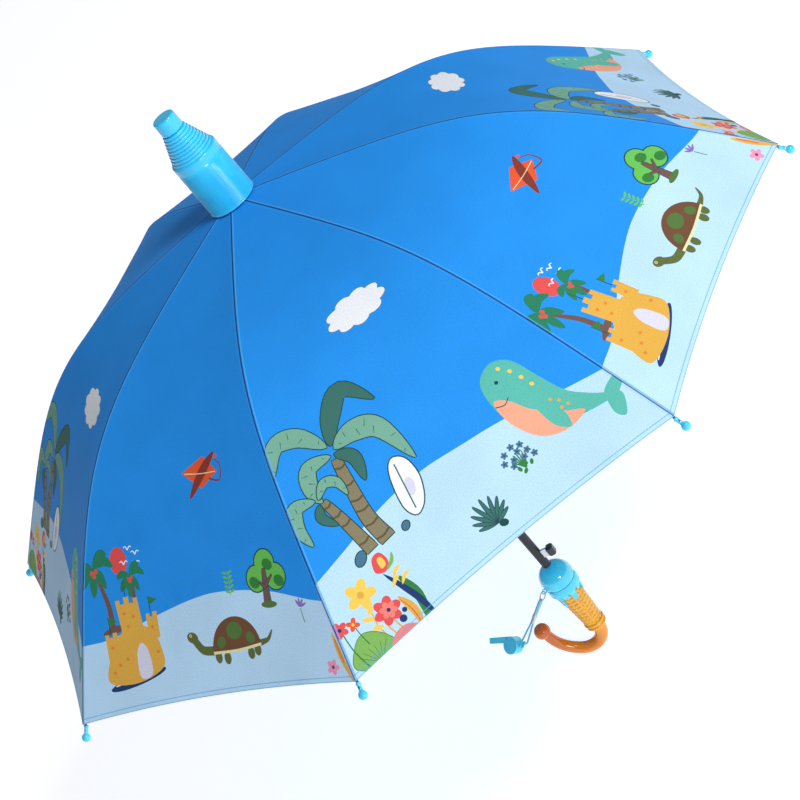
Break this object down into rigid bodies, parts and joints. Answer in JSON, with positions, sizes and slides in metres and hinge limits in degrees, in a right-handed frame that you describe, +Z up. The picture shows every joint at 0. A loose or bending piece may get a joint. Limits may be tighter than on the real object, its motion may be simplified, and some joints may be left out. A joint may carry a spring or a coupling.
{
  "type": "children's umbrella",
  "caption": "Children's stick umbrella, open, with a printed dome canopy, a drip-proof cover over the crown, a cone-shaped crook handle and a whistle on a lanyard.",
  "frame": {"origin": "on the shaft axis, level with the bottom of the crook", "axes": "+Z up along the shaft to the cover's cap; -X is the side the crook curls to; +X is the button's side"},
  "size_m": [0.8602, 0.8602, 0.7167],
  "materials": {
    "canopy_fabric": "smooth printed pongee, blue with a pale lower band",
    "cover_blue": "translucent sky-blue moulded plastic, fine turned rings",
    "scoop_blue": "glossy sky-blue moulded plastic",
    "cone_yellow": "glossy golden moulded plastic with a waffle relief",
    "hook_orange": "glossy orange moulded plastic",
    "shaft_black": "semi-gloss black powder coat",
    "ferrule_steel": "zinc-plated steel",
    "frame_plastic": "black nylon",
    "rib_steel": "black electrophoretic paint on folded steel",
    "rod_fibre": "white glass-fibre rod",
    "tip_blue": "light-blue moulded plastic",
    "wire_steel": "bright steel wire",
    "button_black": "black moulded plastic",
    "stalk_white": "whitish moulded plastic",
    "ring_chrome": "bright nickel plate",
    "braid_blue": "light-blue braided cord",
    "crimp_metal": "dull aluminium",
    "loop_cord": "thin light-blue cord",
    "whistle_blue": "glossy light-blue moulded plastic"
  },
  "bodies": {
    "handle_and_shaft": {"shaft": "shaft_black", "ferrule": "ferrule_steel", "crown": "frame_plastic", "crown_wire": "wire_steel", "scoop": "scoop_blue", "drip_ring": "scoop_blue", "cone_grip": "cone_yellow", "hook": "hook_orange", "lanyard_eyelet": "scoop_blue"},
    "cover": {"cover_cup": "cover_blue", "cover_sections": "cover_blue", "cover_cap": "cover_blue"},
    "runner": {"runner": "frame_plastic"},
    "button": {"open_button": "button_black", "button_stalk": "stalk_white"},
    "whistle_lanyard": {"split_ring": "ring_chrome", "lanyard_braid": "braid_blue", "lanyard_crimp": "crimp_metal", "lanyard_loop": "loop_cord", "whistle": "whistle_blue"},
    "rib_1": {"rib_1": "rib_steel", "canopy_panel_1": "canopy_fabric"},
    "rod_1": {"rod_1": "rod_fibre", "rib_tip_1": "tip_blue"},
    "stretcher_1": {"stretcher_1": "rib_steel"},
    "rib_2": {"rib_2": "rib_steel", "canopy_panel_2": "canopy_fabric"},
    "rod_2": {"rod_2": "rod_fibre", "rib_tip_2": "tip_blue"},
    "stretcher_2": {"stretcher_2": "rib_steel"},
    "rib_3": {"rib_3": "rib_steel", "canopy_panel_3": "canopy_fabric"},
    "rod_3": {"rod_3": "rod_fibre", "rib_tip_3": "tip_blue"},
    "stretcher_3": {"stretcher_3": "rib_steel"},
    "rib_4": {"rib_4": "rib_steel", "canopy_panel_4": "canopy_fabric"},
    "rod_4": {"rod_4": "rod_fibre", "rib_tip_4": "tip_blue"},
    "stretcher_4": {"stretcher_4": "rib_steel"},
    "rib_5": {"rib_5": "rib_steel", "canopy_panel_5": "canopy_fabric"},
    "rod_5": {"rod_5": "rod_fibre", "rib_tip_5": "tip_blue"},
    "stretcher_5": {"stretcher_5": "rib_steel"},
    "rib_6": {"rib_6": "rib_steel", "canopy_panel_6": "canopy_fabric"},
    "rod_6": {"rod_6": "rod_fibre", "rib_tip_6": "tip_blue"},
    "stretcher_6": {"stretcher_6": "rib_steel"},
    "rib_7": {"rib_7": "rib_steel", "canopy_panel_7": "canopy_fabric"},
    "rod_7": {"rod_7": "rod_fibre", "rib_tip_7": "tip_blue"},
    "stretcher_7": {"stretcher_7": "rib_steel"},
    "rib_8": {"rib_8": "rib_steel", "canopy_panel_8": "canopy_fabric"},
    "rod_8": {"rod_8": "rod_fibre", "rib_tip_8": "tip_blue"},
    "stretcher_8": {"stretcher_8": "rib_steel"}
  },
  "joints": [
    {"name": "runner_slide", "type": "slide", "parent": "handle_and_shaft", "child": "runner", "axis": [0, 0, -1], "range_m": [0, 0.32937], "stiffness_N_per_m": 40, "springref_m": -0.15, "deforming": ["canopy_panel_1", "canopy_panel_2", "canopy_panel_3", "canopy_panel_4", "canopy_panel_5", "canopy_panel_6", "canopy_panel_7", "canopy_panel_8"]},
    {"name": "button_press", "type": "slide", "parent": "handle_and_shaft", "child": "button", "axis": [-1, 0, 0], "range_m": [0, 0.003], "stiffness_N_per_m": 700, "springref_m": -0.002},
    {"name": "cover_turn", "type": "hinge", "parent": "handle_and_shaft", "child": "cover", "pos_m": [0, 0, 0.66], "axis": [0, 0, 1], "continuous": true},
    {"name": "whistle_swing", "type": "hinge", "parent": "handle_and_shaft", "child": "whistle_lanyard", "pos_m": [-0.01623, -0.01014, 0.098], "axis": [0.5299, -0.848, 0], "range_deg": [-35, 28]},
    {"name": "rib_fold_1", "type": "hinge", "parent": "handle_and_shaft", "child": "rib_1", "pos_m": [-0.0114, 0, 0.61565], "axis": [0, -1, 0], "range_deg": [-0.05, 70.03]},
    {"name": "rod_flex_1", "type": "hinge", "parent": "rib_1", "child": "rod_1", "pos_m": [-0.24132, 0, 0.55512], "axis": [0, -1, 0], "range_deg": [-20.65, 0.05]},
    {"name": "stretcher_turn_1", "type": "hinge", "parent": "rib_1", "child": "stretcher_1", "pos_m": [-0.22721, 0, 0.55774], "axis": [0, -1, 0], "range_deg": [-140.01, 0.05]},
    {"name": "rib_fold_2", "type": "hinge", "parent": "handle_and_shaft", "child": "rib_2", "pos_m": [-0.00806, -0.00806, 0.61565], "axis": [0.7071, -0.7071, 0], "range_deg": [-0.05, 70.03]},
    {"name": "rod_flex_2", "type": "hinge", "parent": "rib_2", "child": "rod_2", "pos_m": [-0.17064, -0.17064, 0.55512], "axis": [0.7071, -0.7071, 0], "range_deg": [-20.65, 0.05]},
    {"name": "stretcher_turn_2", "type": "hinge", "parent": "rib_2", "child": "stretcher_2", "pos_m": [-0.16067, -0.16067, 0.55774], "axis": [0.7071, -0.7071, 0], "range_deg": [-140.01, 0.05]},
    {"name": "rib_fold_3", "type": "hinge", "parent": "handle_and_shaft", "child": "rib_3", "pos_m": [0, -0.0114, 0.61565], "axis": [1, 0, 0], "range_deg": [-0.05, 70.03]},
    {"name": "rod_flex_3", "type": "hinge", "parent": "rib_3", "child": "rod_3", "pos_m": [0, -0.24132, 0.55512], "axis": [1, 0, 0], "range_deg": [-20.65, 0.05]},
    {"name": "stretcher_turn_3", "type": "hinge", "parent": "rib_3", "child": "stretcher_3", "pos_m": [0, -0.22721, 0.55774], "axis": [1, 0, 0], "range_deg": [-140.01, 0.05]},
    {"name": "rib_fold_4", "type": "hinge", "parent": "handle_and_shaft", "child": "rib_4", "pos_m": [0.00806, -0.00806, 0.61565], "axis": [0.7071, 0.7071, 0], "range_deg": [-0.05, 70.03]},
    {"name": "rod_flex_4", "type": "hinge", "parent": "rib_4", "child": "rod_4", "pos_m": [0.17064, -0.17064, 0.55512], "axis": [0.7071, 0.7071, 0], "range_deg": [-20.65, 0.05]},
    {"name": "stretcher_turn_4", "type": "hinge", "parent": "rib_4", "child": "stretcher_4", "pos_m": [0.16067, -0.16067, 0.55774], "axis": [0.7071, 0.7071, 0], "range_deg": [-140.01, 0.05]},
    {"name": "rib_fold_5", "type": "hinge", "parent": "handle_and_shaft", "child": "rib_5", "pos_m": [0.0114, 0, 0.61565], "axis": [0, 1, 0], "range_deg": [-0.05, 70.03]},
    {"name": "rod_flex_5", "type": "hinge", "parent": "rib_5", "child": "rod_5", "pos_m": [0.24132, 0, 0.55512], "axis": [0, 1, 0], "range_deg": [-20.65, 0.05]},
    {"name": "stretcher_turn_5", "type": "hinge", "parent": "rib_5", "child": "stretcher_5", "pos_m": [0.22721, 0, 0.55774], "axis": [0, 1, 0], "range_deg": [-140.01, 0.05]},
    {"name": "rib_fold_6", "type": "hinge", "parent": "handle_and_shaft", "child": "rib_6", "pos_m": [0.00806, 0.00806, 0.61565], "axis": [-0.7071, 0.7071, 0], "range_deg": [-0.05, 70.03]},
    {"name": "rod_flex_6", "type": "hinge", "parent": "rib_6", "child": "rod_6", "pos_m": [0.17064, 0.17064, 0.55512], "axis": [-0.7071, 0.7071, 0], "range_deg": [-20.65, 0.05]},
    {"name": "stretcher_turn_6", "type": "hinge", "parent": "rib_6", "child": "stretcher_6", "pos_m": [0.16067, 0.16067, 0.55774], "axis": [-0.7071, 0.7071, 0], "range_deg": [-140.01, 0.05]},
    {"name": "rib_fold_7", "type": "hinge", "parent": "handle_and_shaft", "child": "rib_7", "pos_m": [0, 0.0114, 0.61565], "axis": [-1, 0, 0], "range_deg": [-0.05, 70.03]},
    {"name": "rod_flex_7", "type": "hinge", "parent": "rib_7", "child": "rod_7", "pos_m": [0, 0.24132, 0.55512], "axis": [-1, 0, 0], "range_deg": [-20.65, 0.05]},
    {"name": "stretcher_turn_7", "type": "hinge", "parent": "rib_7", "child": "stretcher_7", "pos_m": [0, 0.22721, 0.55774], "axis": [-1, 0, 0], "range_deg": [-140.01, 0.05]},
    {"name": "rib_fold_8", "type": "hinge", "parent": "handle_and_shaft", "child": "rib_8", "pos_m": [-0.00806, 0.00806, 0.61565], "axis": [-0.7071, -0.7071, 0], "range_deg": [-0.05, 70.03]},
    {"name": "rod_flex_8", "type": "hinge", "parent": "rib_8", "child": "rod_8", "pos_m": [-0.17064, 0.17064, 0.55512], "axis": [-0.7071, -0.7071, 0], "range_deg": [-20.65, 0.05]},
    {"name": "stretcher_turn_8", "type": "hinge", "parent": "rib_8", "child": "stretcher_8", "pos_m": [-0.16067, 0.16067, 0.55774], "axis": [-0.7071, -0.7071, 0], "range_deg": [-140.01, 0.05]}
  ],
  "couplings": [
    {"joint": "rib_fold_1", "follows": "runner_slide", "rad_per_m": 3.7081},
    {"joint": "rod_flex_1", "follows": "runner_slide", "rad_per_m": -1.0916},
    {"joint": "stretcher_turn_1", "follows": "runner_slide", "rad_per_m": -7.4163},
    {"joint": "rib_fold_2", "follows": "runner_slide", "rad_per_m": 3.7081},
    {"joint": "rod_flex_2", "follows": "runner_slide", "rad_per_m": -1.0916},
    {"joint": "stretcher_turn_2", "follows": "runner_slide", "rad_per_m": -7.4163},
    {"joint": "rib_fold_3", "follows": "runner_slide", "rad_per_m": 3.7081},
    {"joint": "rod_flex_3", "follows": "runner_slide", "rad_per_m": -1.0916},
    {"joint": "stretcher_turn_3", "follows": "runner_slide", "rad_per_m": -7.4163},
    {"joint": "rib_fold_4", "follows": "runner_slide", "rad_per_m": 3.7081},
    {"joint": "rod_flex_4", "follows": "runner_slide", "rad_per_m": -1.0916},
    {"joint": "stretcher_turn_4", "follows": "runner_slide", "rad_per_m": -7.4163},
    {"joint": "rib_fold_5", "follows": "runner_slide", "rad_per_m": 3.7081},
    {"joint": "rod_flex_5", "follows": "runner_slide", "rad_per_m": -1.0916},
    {"joint": "stretcher_turn_5", "follows": "runner_slide", "rad_per_m": -7.4163},
    {"joint": "rib_fold_6", "follows": "runner_slide", "rad_per_m": 3.7081},
    {"joint": "rod_flex_6", "follows": "runner_slide", "rad_per_m": -1.0916},
    {"joint": "stretcher_turn_6", "follows": "runner_slide", "rad_per_m": -7.4163},
    {"joint": "rib_fold_7", "follows": "runner_slide", "rad_per_m": 3.7081},
    {"joint": "rod_flex_7", "follows": "runner_slide", "rad_per_m": -1.0916},
    {"joint": "stretcher_turn_7", "follows": "runner_slide", "rad_per_m": -7.4163},
    {"joint": "rib_fold_8", "follows": "runner_slide", "rad_per_m": 3.7081},
    {"joint": "rod_flex_8", "follows": "runner_slide", "rad_per_m": -1.0916},
    {"joint": "stretcher_turn_8", "follows": "runner_slide", "rad_per_m": -7.4163}
  ]
}
